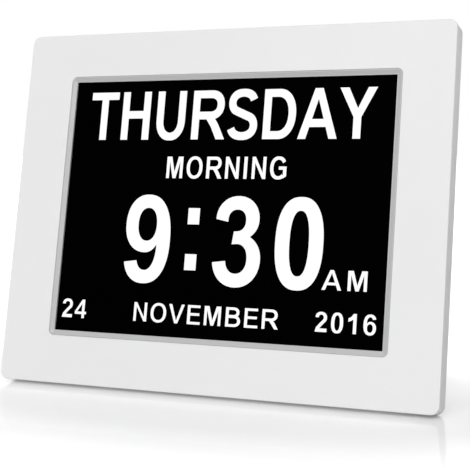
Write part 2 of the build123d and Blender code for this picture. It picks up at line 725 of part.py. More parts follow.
usb_sheet = 0.5
usb_inner_width, usb_inner_height = usb_width - 2 * usb_sheet, usb_height - 2 * usb_sheet
with BuildPart() as usb_socket:
    with BuildSketch(port_side(port_mouth - usb_length)):
        with Locations((usb_up, usb_depth)):
            RectangleRounded(usb_width, usb_height, 0.5)
    extrude(amount=usb_length)
    with BuildSketch(port_side(port_mouth - usb_length + 1)):
        with Locations((usb_up, usb_depth)):
            Rectangle(usb_inner_width, usb_inner_height)
    extrude(amount=usb_length, mode=Mode.SUBTRACT)
save(usb_socket.part, "usb_socket")

with BuildPart() as usb_socket_tongue:
    with BuildSketch(port_side(port_mouth - usb_length + 1)):
        with Locations((usb_up, usb_depth)):
            Rectangle(usb_inner_width, usb_inner_height)
    extrude(amount=3)
    with BuildSketch(port_side(port_mouth - usb_length + 4)):
        with Locations((usb_up, usb_depth + 1.1)):
            Rectangle(11.2, 1.9)
    extrude(amount=8.4)
save(usb_socket_tongue.part, "usb_socket_tongue")

with BuildPart() as memory_card_slot:
    with BuildSketch(port_side(port_mouth - card_length)):
        with Locations((card_up, card_depth)):
            RectangleRounded(card_width, card_height, 0.4)
    extrude(amount=card_length)
    with BuildSketch(port_side(port_mouth - card_length + 3)):
        with Locations((card_up, card_depth)):
            Rectangle(24.4, 2.3)
    extrude(amount=card_length, mode=Mode.SUBTRACT)
save(memory_card_slot.part, "memory_card_slot")

# ---------------------------------------------------------------- loudspeaker
basket_end = inside_back - 1.2  # where the basket's rim begins
basket_start = inside_back - 4.4
cone_ledge = inside_back - 1.0
cone_rim = speaker_radius - 1.6
magnet_front, magnet_radius = inside_back - 7.6, 7.0
with BuildPart() as speaker_frame:
    with BuildSketch(radial(speaker_x, speaker_y)):
        with BuildLine():
            Polyline(
                (0, basket_start),
                (8.0, basket_start),
                (speaker_radius - 0.6, basket_end),
                (speaker_radius, basket_end),
                (speaker_radius, inside_back),
                (cone_rim, inside_back),
                (cone_rim, cone_ledge),
                (cone_rim - 1, cone_ledge),
                (7.6, basket_start + 0.8),
                (0, basket_start + 0.8),
                close=True,
            )
        make_face()
    revolve(axis=spun(speaker_x, speaker_y))
save(speaker_frame.part, "speaker_frame")

with BuildPart() as speaker_magnet:
    with BuildSketch(radial(speaker_x, speaker_y)):
        with Locations((magnet_radius / 2, (magnet_front + basket_start) / 2)):
            Rectangle(magnet_radius, basket_start - magnet_front)
    revolve(axis=spun(speaker_x, speaker_y))
    chamfer(speaker_magnet.faces().sort_by(depth_axis)[0].edges(), 0.5)
save(speaker_magnet.part, "speaker_magnet")

dome_radius, dome_rise, paper = 5.0, 1.0, 0.3
dome_low = cone_ledge - 1.6
with BuildPart() as speaker_cone:
    with BuildSketch(radial(speaker_x, speaker_y)):
        with BuildLine():
            roll = ThreePointArc(
                (cone_rim, cone_ledge + paper),
                (cone_rim - 1.3, cone_ledge + 0.8),
                (cone_rim - 2.6, cone_ledge + paper),
            )
            Polyline(
                roll @ 1,
                (dome_radius, dome_low),
                (dome_radius * 0.6, dome_low + dome_rise * 0.8),
                (dome_radius * 0.25, dome_low + dome_rise),
                (0, dome_low + dome_rise),
                (0, dome_low + dome_rise - paper),
                (dome_radius * 0.25, dome_low + dome_rise - paper),
                (dome_radius * 0.6, dome_low + dome_rise * 0.8 - paper),
                (dome_radius, dome_low - paper),
                (cone_rim - 2.6, cone_ledge),
                (cone_rim, cone_ledge),
                roll @ 0,
            )
        make_face()
    revolve(axis=spun(speaker_x, speaker_y))
save(speaker_cone.part, "speaker_cone")

# ---------------------------------------------------------------- cables inside the case
flex_thickness = 0.3


def flat_cable(middle, width, profile, bend_radius):
    """A flat cable about middle, whose bent profile is given as points (up the case, depth)."""
    with BuildPart() as cable:
        with BuildSketch(port_side(middle - width / 2)):
            with BuildLine():
                FilletPolyline(*profile, radius=bend_radius)
            trace(line_width=flex_thickness)
        extrude(amount=width)
    return cable.part


glass_low = screen_up - glass_height / 2
connector_depth = board_front - 1.2
lcd_connector_low = -47.0
lcd_cable_profile = [
    (glass_low, 2.85),
    (glass_low - 4, 2.85),
    (glass_low - 4, 8.2),
    (glass_low + 12, 8.2),
    (lcd_connector_low - 2, connector_depth),
    (lcd_connector_low, connector_depth),
]
save(flat_cable(cable_middle, cable_width, lcd_cable_profile, 0.9), "lcd_flat_cable")

key_cable_middle, key_cable_width = 38.0, 9.0
key_cable_profile = [
    (key_row_up - 2, key_board_front - flex_thickness / 2),
    (key_row_up - 9, key_board_front - flex_thickness / 2),
    (board_high + 3, board_front - flex_thickness / 2),
    (board_high - 4, board_front - flex_thickness / 2),
]
save(flat_cable(key_cable_middle, key_cable_width, key_cable_profile, 3.0), "key_cable")

lead_radius, lead_depth, lead_up = 0.55, 9.6, -30.0
speaker_connector_left = 30.0
with BuildPart() as board_connectors:
    for middle, size in (
        ((cable_middle, lcd_connector_low + 2), (cable_width + 3, 4)),
        ((speaker_connector_left + 3, lead_up), (6, 5)),
    ):
        with BuildSketch(behind(board_front - 2.2)):
            with Locations(middle):
                Rectangle(*size)
        extrude(amount=2.2)
save(board_connectors.part, "board_connectors")

with BuildPart() as speaker_leads:
    for offset_up in (-0.75, 0.75):
        wire_up = lead_up + offset_up
        with BuildLine() as wire:
            FilletPolyline(
                at(speaker_x + magnet_radius, wire_up, magnet_front + 1.6),
                at(speaker_x + 13, wire_up, magnet_front + 1.6),
                at(speaker_x + 21, wire_up, lead_depth),
                at(speaker_connector_left, wire_up, lead_depth),
                radius=4,
            )
        with BuildSketch(Plane(origin=wire.line @ 0, z_dir=wire.line % 0)):
            Circle(lead_radius)
        sweep(path=wire.line)
save(speaker_leads.part, "speaker_leads")
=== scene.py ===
# %% [markdown]
# # A day clock on its fold-out stand
# A day clock is an eight-inch screen in a white moulded case. It shows the weekday, the part
# of the day, the time and the date in large plain letters, for someone who loses track of them.
# The hard parts, from the bezel to the screws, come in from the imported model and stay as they
# are. This lesson gives them their finishes, and adds what lies on them: the picture on the
# screen, the symbols at the keys, and the contacts in the sockets.

# %% Load the frame
import json
from math import atan2, ceil, cos, degrees, hypot, pi, radians, sin

import bpy
from mathutils import Matrix, Vector


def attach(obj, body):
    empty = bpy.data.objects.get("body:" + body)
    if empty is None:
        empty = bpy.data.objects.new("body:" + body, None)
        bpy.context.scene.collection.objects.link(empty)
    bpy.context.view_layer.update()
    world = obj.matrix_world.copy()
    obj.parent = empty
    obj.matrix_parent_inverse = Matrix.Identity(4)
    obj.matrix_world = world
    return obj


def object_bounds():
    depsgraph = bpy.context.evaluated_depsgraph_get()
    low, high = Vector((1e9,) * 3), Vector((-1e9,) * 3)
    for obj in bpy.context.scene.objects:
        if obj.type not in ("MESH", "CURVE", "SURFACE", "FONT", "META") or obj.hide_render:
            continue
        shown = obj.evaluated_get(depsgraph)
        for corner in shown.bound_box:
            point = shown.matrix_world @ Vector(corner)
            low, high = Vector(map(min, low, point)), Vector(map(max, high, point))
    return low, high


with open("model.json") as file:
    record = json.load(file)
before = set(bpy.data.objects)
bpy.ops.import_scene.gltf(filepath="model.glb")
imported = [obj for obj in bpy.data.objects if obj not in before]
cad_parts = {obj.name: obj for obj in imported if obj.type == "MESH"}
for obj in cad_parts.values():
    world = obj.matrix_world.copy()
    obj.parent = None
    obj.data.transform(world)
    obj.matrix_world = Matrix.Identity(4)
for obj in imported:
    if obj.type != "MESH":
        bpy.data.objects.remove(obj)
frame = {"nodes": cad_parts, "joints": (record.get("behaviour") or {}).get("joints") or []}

cad_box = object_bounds()
nodes = frame["nodes"]
print(len(nodes), "nodes, from", cad_box[0], "to", cad_box[1])

# %% [markdown]
# ## Directions of the leaning case
# The case leans back, so nothing on it is square to the world. A key is pressed straight into
# the case, so the axis of a key gives the direction that the screen faces. The measured reach
# of a node along a direction then says where a surface is, with no number typed in twice.

# %% Directions and surfaces of the case
millimetre = 0.001
right = Vector((1, 0, 0))
facing = Vector(next(j["axis"] for j in frame["joints"] if j["name"] == "ok_press")).normalized()
up_case = facing.cross(right)


def reach(node, direction):
    """How far a node goes along a direction, from the origin."""
    return max(vertex.co.dot(direction) for vertex in nodes[node].data.vertices)


def middle_of(node, direction):
    """The middle of a node's reach along a direction."""
    return (reach(node, direction) - reach(node, -direction)) / 2


def surface(across, upwards, outwards, up_from, out_from):
    """Places a flat drawing on the case: its X, Y and Z turned to three directions."""
    place = Matrix((across, upwards, outwards)).transposed().to_4x4()
    place.translation = upwards * up_from + outwards * out_from
    return place


picture_up = middle_of("screen_trim", up_case)
face_up = middle_of("front_bezel", up_case)
picture_plane = surface(right, up_case, facing, picture_up, reach("lcd_glass", facing))
back_plane = surface(-right, up_case, -facing, face_up, reach("rear_cover", -facing))
lean = degrees(atan2(facing.z, -facing.y))
print("leans back", round(lean, 2), "degrees, with the picture at", round(picture_up, 4))

# %% [markdown]
# ## Camera
# The camera looks at the clock from its right, a little above the middle, from about half a
# metre. The picture is taken slightly off the middle of the lens, so the camera has a small
# shift instead of being turned, which keeps the verticals as they are.

# %% Camera
picture_size = 470
camera_around = radians(22.48)
camera_above = radians(1.90)
focal_pixels = 1172.1
sensor = 36.0
aim = Vector((0, -0.016005, 0.08592))
camera_offset = Vector((0.011906, 0.007477, 0.538566))
optical_middle = (242.73, 191.01)

camera_back = Vector(
    (sin(camera_around) * cos(camera_above), -cos(camera_around) * cos(camera_above), sin(camera_above))
)
camera_right = Vector((cos(camera_around), sin(camera_around), 0))
camera_up = camera_back.cross(camera_right)
camera_turn = Matrix((camera_right, camera_up, camera_back)).transposed()
bpy.ops.object.camera_add(location=aim + camera_turn @ camera_offset, rotation=camera_turn.to_euler())
camera = bpy.context.object
camera.name = "camera"
camera.data.sensor_width = sensor
camera.data.lens = focal_pixels / picture_size * sensor
camera.data.shift_x = 0.5 - optical_middle[0] / picture_size
camera.data.shift_y = optical_middle[1] / picture_size - 0.5
camera.data.clip_start = 0.01
bpy.context.scene.camera = camera
bpy.context.scene.view_settings.view_transform = "Standard"
print("lens", round(camera.data.lens, 2), "shift", camera.data.shift_x, camera.data.shift_y)

# %% [markdown]
# ## Colours
# Colours are written here as they look on a screen, from 0 to 255. A shader counts light
# instead, so each channel is turned into its share of the light before it is used.


# %% Colours
def linear(red, green, blue):
    """A colour given as 0 to 255 on a screen, as the shader wants it."""
    channels = []
    for value in (red, green, blue):
        share = value / 255
        channels.append(share / 12.92 if share <= 0.04045 else ((share + 0.055) / 1.055) ** 2.4)
    return (*channels, 1.0)


print("a middle grey of 128 is", round(linear(128, 128, 128)[0], 3), "to the shader")

# %% [markdown]
# ## Shader helpers
# Every finish starts from one Principled shader. A few helpers add what makes a surface read
# as real: a slight unevenness of the colour, an unevenness of the gloss, and a fine relief.
# All of them read Object coordinates, which here are metres in the clock's own frame. A noise
# texture stays mostly between 0.3 and 0.7, so that is the stretch that a drift is spread over.

# %% Shader helpers
finishes = {}
noise_low, noise_high = 0.3, 0.7


class Finish:
    """One material, kept in `finishes`, with helpers that wire textures to its shader."""

    def __init__(self, name, colour, roughness, metallic=0.0, specular=0.5):
        self.material = bpy.data.materials.new(name)
        self.material.use_nodes = True
        self.tree = self.material.node_tree
        self.shader = self.tree.nodes["Principled BSDF"]
        self.colour = linear(*colour)
        self.roughness = roughness
        self.set("Base Color", self.colour)
        self.set("Roughness", roughness)
        self.set("Metallic", metallic)
        self.set("Specular IOR Level", specular)
        self.material.diffuse_color = self.colour
        finishes[name] = self

    def set(self, socket, value):
        self.shader.inputs[socket].default_value = value

    def node(self, kind, **settings):
        made = self.tree.nodes.new(kind)
        for name, value in settings.items():
            setattr(made, name, value)
        return made

    def link(self, source, target):
        self.tree.links.new(source, target)

    def place(self, stretch=(1, 1, 1), turn=(0, 0, 0), middle=(0, 0, 0)):
        """Object coordinates about a middle, turned and stretched."""
        coordinates = self.node("ShaderNodeTexCoord")
        mapping = self.node("ShaderNodeMapping")
        mapping.inputs["Scale"].default_value = stretch
        mapping.inputs["Rotation"].default_value = turn
        mapping.inputs["Location"].default_value = [-m * s for m, s in zip(middle, stretch)]
        self.link(coordinates.outputs["Object"], mapping.inputs["Vector"])
        return mapping.outputs["Vector"]

    def noise(self, size, detail=2.0, stretch=(1, 1, 1)):
        """Noise whose lumps are about `size` across, in metres."""
        noise = self.node("ShaderNodeTexNoise")
        noise.inputs["Scale"].default_value = 1 / size
        noise.inputs["Detail"].default_value = detail
        self.link(self.place(stretch), noise.inputs["Vector"])
        return noise.outputs["Fac"]

    def spread(self, source, low, high, start=noise_low, end=noise_high, smooth=False):
        """A value that runs from low to high while the source runs from start to end."""
        kind = "SMOOTHSTEP" if smooth else "LINEAR"
        spread = self.node("ShaderNodeMapRange", interpolation_type=kind)
        spread.inputs["From Min"].default_value = start
        spread.inputs["From Max"].default_value = end
        spread.inputs["To Min"].default_value = low
        spread.inputs["To Max"].default_value = high
        self.link(source, spread.inputs["Value"])
        return spread.outputs["Result"]

    def maths(self, operation, first, second):
        """Two values added, multiplied or the like."""
        result = self.node("ShaderNodeMath", operation=operation)
        self.link(first, result.inputs[0])
        self.link(second, result.inputs[1])
        return result.outputs[0]

    def colour_ramp(self, source, start, end, start_colour, end_colour):
        """The base colour, from one colour to another while the source runs from start to end."""
        ramp = self.node("ShaderNodeValToRGB")
        stops = ramp.color_ramp.elements
        for stop, position, colour in zip(stops, (start, end), (start_colour, end_colour)):
            stop.position = position
            stop.color = colour
        self.link(source, ramp.inputs["Fac"])
        self.link(ramp.outputs["Color"], self.shader.inputs["Base Color"])

    def uneven_colour(self, source, share):
        """Lets the colour drift darker by a share of itself."""
        darker = tuple(c * (1 - share) for c in self.colour[:3]) + (1.0,)
        self.colour_ramp(source, noise_low, noise_high, darker, self.colour)

    def uneven_gloss(self, source, change):
        """Lets the roughness drift either way by a change."""
        value = self.spread(source, self.roughness - change, self.roughness + change)
        self.link(value, self.shader.inputs["Roughness"])

    def relief(self, source, height):
        """Bumps of about `height` metres."""
        bump = self.node("ShaderNodeBump")
        bump.inputs["Strength"].default_value = 1.0
        bump.inputs["Distance"].default_value = height
        self.link(source, bump.inputs["Height"])
        self.link(bump.outputs["Normal"], self.shader.inputs["Normal"])


print("noise stays between", noise_low, "and", noise_high)

# %% [markdown]
# ## Moulded plastics
# The case is white ABS from a mould with a fine spark-eroded texture, so it is satin: its
# highlights are wide and soft, with a grain of about a third of a millimetre. A faint
# unevenness of the colour and the gloss keeps wide faces from looking drawn. The keys share
# the recipe, a shade greyer. The sockets and switch stems are dark, and the foot's rubber is
# dark and much rougher.


# %% Moulded plastics
def moulded(slot, colour, roughness, grain=0.0003, relief=0.000006, specular=0.5, drift=0.015):
    """A moulded plastic: faint drift of the shade, uneven gloss and a fine grain."""
    made = Finish(slot, colour, roughness, specular=specular)
    made.uneven_colour(made.noise(0.06, 1.0), drift)
    made.uneven_gloss(made.noise(0.012, 3.0), 0.04)
    made.relief(made.noise(grain, 2.0), relief)
    return made


moulded("case_white", (231, 231, 231), 0.46)
moulded("key_plastic", (222, 222, 221), 0.40)
moulded("stem_plastic", (62, 62, 62), 0.45)
moulded("socket_black", (34, 34, 35), 0.42)
moulded("foot_rubber", (52, 52, 52), 0.72, grain=0.0005, relief=0.00003, specular=0.3, drift=0.12)
moulded("chip_black", (40, 40, 42), 0.55, grain=0.00015, relief=0.000004)
moulded("lead_insulation", (160, 38, 34), 0.42, relief=0.000002)
print("plastics", list(finishes))

# %% [markdown]
# ## Silver trim
# The frame round the screen is sprayed silver: fine aluminium flakes in a clear satin lacquer.
# A little metal in the shader, with a tiny sparkle in the colour, gives that look from every
# side, where a plain grey would look like primer.

# %% Silver trim
trim = Finish("trim_silver", (187, 187, 188), 0.45, metallic=0.12, specular=0.3)
trim.uneven_colour(trim.noise(0.00025, 1.0), 0.07)
trim.uneven_gloss(trim.noise(0.008, 2.0), 0.05)
trim.relief(trim.noise(0.0002, 1.0), 0.000002)
print("trim roughness", trim.roughness)

# %% [markdown]
# ## Display
# An unlit part of the screen is as black as anything gets: the panel holds the light back, and
# a matt coat on the glass spreads what is left of a reflection. The lit letters are the same
# dark panel giving light of its own, with the faint unevenness of the lamps behind it.

# %% Display glass and lit letters
glass = Finish("display_glass", (1, 1, 1), 0.30, specular=0.002)
glass.uneven_colour(glass.noise(0.03, 1.0), 0.3)
glass.relief(glass.noise(0.00008, 0.0), 0.0000006)

lit = Finish("display_white", (12, 12, 13), 0.4, specular=0.05)
lit.uneven_colour(lit.noise(0.02, 0.0), 0.1)
lit.set("Emission Color", (1, 1, 1, 1))
lit.link(lit.spread(lit.noise(0.05, 0.0), 0.99, 1.03), lit.shader.inputs["Emission Strength"])
print("glass and letters,", len(finishes), "finishes so far")

# %% [markdown]
# ## Metals
# Sheet steel is rolled, so its gloss has long streaks in one direction, made by stretching the
# noise. Turned and plated pieces are brighter, with a finer unevenness. Cast and sintered
# pieces are dull and pitted.


# %% Metals
def rolled(slot, colour, roughness):
    """Sheet metal with the streaks of its rolling along X."""
    made = Finish(slot, colour, roughness, metallic=1.0)
    streaks = made.noise(0.004, 4.0, (1, 12, 12))
    made.uneven_colour(streaks, 0.10)
    made.uneven_gloss(streaks, 0.08)
    return made


def plated(slot, colour, roughness, metallic=1.0):
    """A turned or drawn piece with a plated skin."""
    made = Finish(slot, colour, roughness, metallic=metallic)
    made.uneven_colour(made.noise(0.0015, 3.0), 0.08)
    made.uneven_gloss(made.noise(0.0006, 2.0), 0.07)
    made.relief(made.noise(0.0003, 2.0), 0.000002)
    return made


rolled("sheet_steel", (200, 200, 202), 0.32)
rolled("speaker_steel", (158, 158, 160), 0.36)
plated("can_aluminium", (214, 214, 217), 0.28)
plated("bright_steel", (220, 220, 218), 0.20)
plated("screw_steel", (196, 196, 198), 0.30)
plated("contact_gold", (226, 184, 104), 0.24)
plated("ferrite", (68, 68, 70), 0.62, metallic=0.2)
print("metals done,", len(finishes), "finishes so far")

# %% [markdown]
# ## Films, boards and paper inside
# Little of the inside shows, through the slots and sockets, but each piece still has its own
# stuff: matt films, clear acrylic, green boards with their copper runs showing through the
# mask, a cable of parallel conductors, and a black paper cone with fine fibres.


# %% Films, boards and paper
def striped(made, size, other):
    """Bands across X, `size` metres apart, of the finish's own colour and another one."""
    wave = made.node("ShaderNodeTexWave", wave_type="BANDS", bands_direction="X")
    wave.inputs["Scale"].default_value = pi / (10 * size)
    made.link(made.place(), wave.inputs["Vector"])
    made.colour_ramp(wave.outputs["Fac"], 0.4, 0.6, made.colour, linear(*other))
    return wave.outputs["Fac"]


moulded("optical_film", (236, 236, 238), 0.6, relief=0.000001)
acrylic = moulded("acrylic", (240, 243, 246), 0.12, relief=0.0000005)
acrylic.set("Transmission Weight", 0.5)

board = Finish("circuit_board", (28, 104, 58), 0.34)
copper = board.node("ShaderNodeTexBrick", offset=0.37, squash=0.6)
copper.inputs["Color1"].default_value = linear(24, 96, 52)
copper.inputs["Color2"].default_value = linear(31, 110, 62)
copper.inputs["Mortar"].default_value = linear(52, 140, 78)
copper.inputs["Scale"].default_value = 160.0
copper.inputs["Mortar Size"].default_value = 0.03
board.link(board.place(turn=(pi / 2, 0, 0)), copper.inputs["Vector"])
board.link(copper.outputs["Color"], board.shader.inputs["Base Color"])
board.relief(copper.outputs["Fac"], 0.00003)

strip = Finish("light_strip", (240, 238, 226), 0.5)
striped(strip, 0.009, (236, 208, 92))

cable = Finish("flat_cable", (232, 228, 214), 0.3)
conductors = striped(cable, 0.001, (176, 180, 186))
cable.relief(conductors, 0.00002)

paper = Finish("speaker_paper", (48, 47, 46), 0.85, specular=0.2)
fibres = paper.noise(0.0006, 6.0, (1, 3, 1))
paper.uneven_colour(fibres, 0.35)
paper.relief(fibres, 0.00004)

for name, node in nodes.items():
    slot = node.data.materials[0].name
    node.material_slots[0].material = finishes[slot].material
print("every node has its finish; in all", len(finishes))

# %% [markdown]
# ## Lettering on the screen
# The screen shows bold capitals without serifs. A font file isn't at hand, and such letters
# are easy to draw: straight bars, rings with an oval counter, and bows that a broad pen would
# make, thicker where the pen travels up or down than where it travels across. A stroke is a
# list of closed outlines, where an outline inside another is a hole.

# %% Strokes
arc_steps = 20
sample_pen = (0.2, 0.16)


def arc(middle, width, height, start, end, squareness=2.2):
    """Points of a slightly squared ellipse, `arc_steps` of them to a quarter turn."""
    steps = max(2, ceil(abs(end - start) / 90 * arc_steps))
    points = []
    for step in range(steps + 1):
        angle = radians(start + (end - start) * step / steps)
        c, s = cos(angle), sin(angle)
        across = abs(c) ** (2 / squareness) * (1 if c >= 0 else -1)
        along = abs(s) ** (2 / squareness) * (1 if s >= 0 else -1)
        points.append((middle[0] + width * across, middle[1] + height * along))
    return points


def ring(middle, width, height, stem, cross, squareness=2.2):
    """A closed bow, given the half width and half height of its outer edge."""
    outer = arc(middle, width, height, 0, 360, squareness)[:-1]
    counter = arc(middle, width - stem, height - cross, 0, 360, squareness)[:-1]
    return [outer, counter]


def pen_line(path, stem, cross):
    """A broad pen's stroke along an open path."""
    left, right_side = [], []
    last = len(path) - 1
    for index, (x, y) in enumerate(path):
        before, after = path[max(index - 1, 0)], path[min(index + 1, last)]
        dx, dy = after[0] - before[0], after[1] - before[1]
        length = hypot(dx, dy)
        half = (cross + (stem - cross) * abs(dy) / length) / 2
        left.append((x - dy / length * half, y + dx / length * half))
        right_side.append((x + dy / length * half, y - dx / length * half))
    return [left + right_side[::-1]]


def bar(left, low, wide, high):
    """An upright rectangle."""
    return [[(left, low), (left + wide, low), (left + wide, low + high), (left, low + high)]]


print("a full oval has", len(arc((0, 0), 1, 1, 0, 360)) - 1, "points")

# %% [markdown]
# Every letter is drawn one unit tall, for a pen whose upright strokes are `stem` thick and
# whose level strokes are `cross` thick, so that small rows can have lighter letters. The round
# letters overshoot the line by a little, or they would look shorter than the square ones. A
# bow or a crossbar starts inside the upright that it leaves, so their union has no seam.

# %% Round letters
overshoot = 0.017
inside = 0.1


def round_letters(stem, cross):
    side, low = stem / 2, cross / 2

    def bow(outer_low, outer_top, straight, wide):
        """From inside the upright round a half oval and back, between two outer heights."""
        middle, half = (outer_low + outer_top) / 2, (outer_top - outer_low) / 2
        path = arc((straight, middle), wide - straight - side, half - low, 90, -90)
        return pen_line([(inside, outer_top - low)] + path + [(inside, outer_low + low)], stem, cross)

    open_bow = arc((0.468, 0.5), 0.4675 - side, 0.5 + overshoot - low, 33, 312)
    spine = arc((0.415, 0.777 - low / 2), 0.3865 - side, 0.240 - low / 2, 14, 232)
    spine += arc((0.415, 0.234 + low / 2), 0.4015 - side, 0.250 - low / 2, 52, -166)
    cup = [(side, 1), (side, 0.6)]
    cup += arc((0.4, 0.4), 0.4 - side, 0.4 + overshoot - low, 180, 360)
    cup += [(0.8 - side, 0.6), (0.8 - side, 1)]
    leg_foot = 0.915
    leg = [(0.36, 0.45), (0.60, 0.45), (0.72, 0.31), (leg_foot, 0), (leg_foot - 1.2 * stem, 0),
           (0.53, 0.25)]
    spur_top, spur_right = 0.566, 0.92
    spur = [(0.49, spur_top - cross), (0.49, spur_top), (spur_right, spur_top), (spur_right, 0.13),
            (spur_right - stem, 0.03), (spur_right - stem, spur_top - cross)]
    upright = bar(0, 0, stem, 1)
    return {
        "B": [upright, bow(0.474, 1, 0.44, 0.7765), bow(0, 0.584, 0.46, 0.8465)],
        "D": [upright, bow(0, 1, 0.38, 0.8445)],
        "G": [pen_line(open_bow, stem, cross), [spur]],
        "O": [ring((0.468, 0.5), 0.468, 0.5 + overshoot, stem, cross)],
        "R": [upright, bow(0.408, 1, 0.50, 0.8635), [leg]],
        "S": [pen_line(spine, stem, cross)],
        "U": [pen_line(cup, stem, cross)],
    }


print("round letters", *round_letters(*sample_pen))

# %% [markdown]
# The straight letters are bars and polygons. In the slanting ones, the edges keep their slope
# when the pen changes, and only move closer together, so the notch of a V or an A gets lower
# or higher. The uprights of M and N are a little thinner than a lone one.


# %% Slanting letters
def letter_a(slant, cross):
    wide, top_middle = 1.003, 0.496
    left_slope, right_slope = 0.367, 0.384
    bar_low, bar_top = 0.3115 - cross / 2, 0.3115 + cross / 2
    peak = (wide - 2 * slant) / (left_slope + right_slope)

    def inner_left(height):
        return slant + left_slope * height, height

    def inner_right(height):
        return wide - slant - right_slope * height, height

    outer = [(wide, 0), inner_right(0), inner_right(bar_low), inner_left(bar_low), inner_left(0),
             (0, 0), (top_middle - slant / 2, 1), (top_middle + slant / 2, 1)]
    return [[outer, [inner_right(bar_top), inner_left(peak), inner_left(bar_top)]]]


def letter_m(stem, narrow):
    wide, foot_middle, shoulder = 0.966, 0.4825, 0.114
    fork_top, foot_half = 0.787, 0.48 * stem
    return [[[(0, 0), (0, 1), (narrow + shoulder, 1), (0.484, 1.57 * stem),
              (wide - shoulder - narrow, 1), (wide, 1), (wide, 0), (wide - narrow, 0),
              (wide - narrow, fork_top), (foot_middle + foot_half, 0), (foot_middle - foot_half, 0),
              (narrow, fork_top), (narrow, 0)]]]


def letter_n(narrow):
    wide, shoulder = 0.793, 0.008
    drop = 1.63 * (wide - shoulder - 2 * narrow)
    return [[[(0, 0), (0, 1), (narrow + shoulder, 1), (wide - narrow, 1 - drop), (wide - narrow, 1),
              (wide, 1), (wide, 0), (wide - shoulder - narrow, 0), (narrow, drop), (narrow, 0)]]]


def letter_v(slant):
    wide, foot_middle = 0.931, 0.465
    left_slope, right_slope = 0.342, 0.331
    drop = (wide - 2 * slant) / (left_slope + right_slope)
    return [[[(foot_middle - slant / 2, 0), (0, 1), (slant, 1), (slant + left_slope * drop, 1 - drop),
              (wide - slant, 1), (wide, 1), (foot_middle + slant / 2, 0)]]]


def letter_y(stem, arm):
    wide, middle, fork = 0.935, 0.4665, 0.421
    left_slope, right_slope = 0.593, 0.583
    drop = (wide - 2 * arm) / (left_slope + right_slope)
    left, right_side = middle - stem / 2, middle + stem / 2
    return [[[(left, 0), (left, fork), (0, 1), (arm, 1), (arm + left_slope * drop, 1 - drop),
              (wide - arm, 1), (wide, 1), (right_side, fork), (right_side, 0)]]]


print("an A has", len(letter_a(*sample_pen)[0]), "outlines, and an M has", len(letter_m(0.2, 0.18)[0]))

# %% [markdown]
# The other straight letters need bars alone. Their alphabet takes the slanting ones in.


# %% Straight letters
def straight_letters(stem, cross):
    slant, arm, narrow = 1.06 * stem, 1.17 * stem, 0.926 * stem
    half = cross / 2
    h_wide, t_wide = 0.8, 0.795
    upright = bar(0, 0, stem, 1)
    return {
        "A": letter_a(slant, cross),
        "E": [upright, bar(inside, 1 - cross, 0.642, cross), bar(inside, 0.524 - half, 0.604, cross),
              bar(inside, 0, 0.661, cross)],
        "H": [upright, bar(h_wide - stem, 0, stem, 1), bar(inside, 0.521 - half, 0.6, cross)],
        "I": [upright],
        "M": letter_m(stem, narrow),
        "N": letter_n(narrow),
        "T": [bar(0, 1 - cross, t_wide, cross), bar((t_wide - stem) / 2, 0, stem, 1 - half)],
        "V": letter_v(slant),
        "Y": letter_y(stem, arm),
    }


print("straight letters", *straight_letters(*sample_pen))

# %% [markdown]
# The figures are narrower than the letters. A nine is one line round a bowl and a tail, with
# the oval of the bowl cut out, and a six is the same after half a turn. A three is one line
# round two bows, one above the other, that share a short tongue. A two is a swan's neck drawn
# with the pen, on a foot whose left end leans the same way.


# %% Figures
def figure_nine(stem, cross):
    """Down the right of a large oval, back along the inside of the tail, and round the bowl."""
    line = arc((0.307, 0.503), 0.358, 0.520, 90, -90, 2.35)
    line += arc((0.307, 0.295), 0.301, 0.312, -90, -169)
    line += arc((0.313, 0.310), 0.307 - 0.945 * stem, 0.327 - cross, -161, -90)
    line += arc((0.313, 0.438), 0.352 - stem, 0.456 - cross, -90, 0)
    line += arc((0.302, 0.666), 0.222, 0.322, -42, -90) + arc((0.302, 0.666), 0.302, 0.322, -90, -180)
    line += arc((0.307, 0.666), 0.307, 0.357, 180, 90)
    counter_middle = (0.327 - 0.044 * stem, 0.683 - 0.064 * cross)
    counter = arc(counter_middle, 0.327 - 0.984 * stem, 0.339 - 0.937 * cross, 0, 360)[:-1]
    return [[line, counter]]


def figure_three(stem, cross):
    """Over the top, round both bows to the lower end, and back along the inside."""
    upper_inside = (0.307, 0.743), 0.302 - 0.918 * stem, 0.238 - 0.734 * cross
    lower_inside = (0.325, 0.307), 0.334 - 0.963 * stem, 0.285 - 0.752 * cross
    tongue_low, tongue_top = 0.543 - 0.47 * cross, 0.543 + 0.47 * cross
    line = arc((0.314, 0.755), 0.302, 0.267, 180, 0, 2.1)
    line += arc((0.314, 0.755), 0.302, 0.242, 0, -53, 2.1)
    line += arc((0.327, 0.302), 0.334, 0.293, 58, 0, 2.1)
    line += arc((0.327, 0.302), 0.334, 0.319, 0, -173, 2.1)
    line += arc(*lower_inside, -172, 90)
    line += [(0.252, tongue_low), (0.271, tongue_top)]
    line += arc(*upper_inside, -90, 187)
    return [[line]]


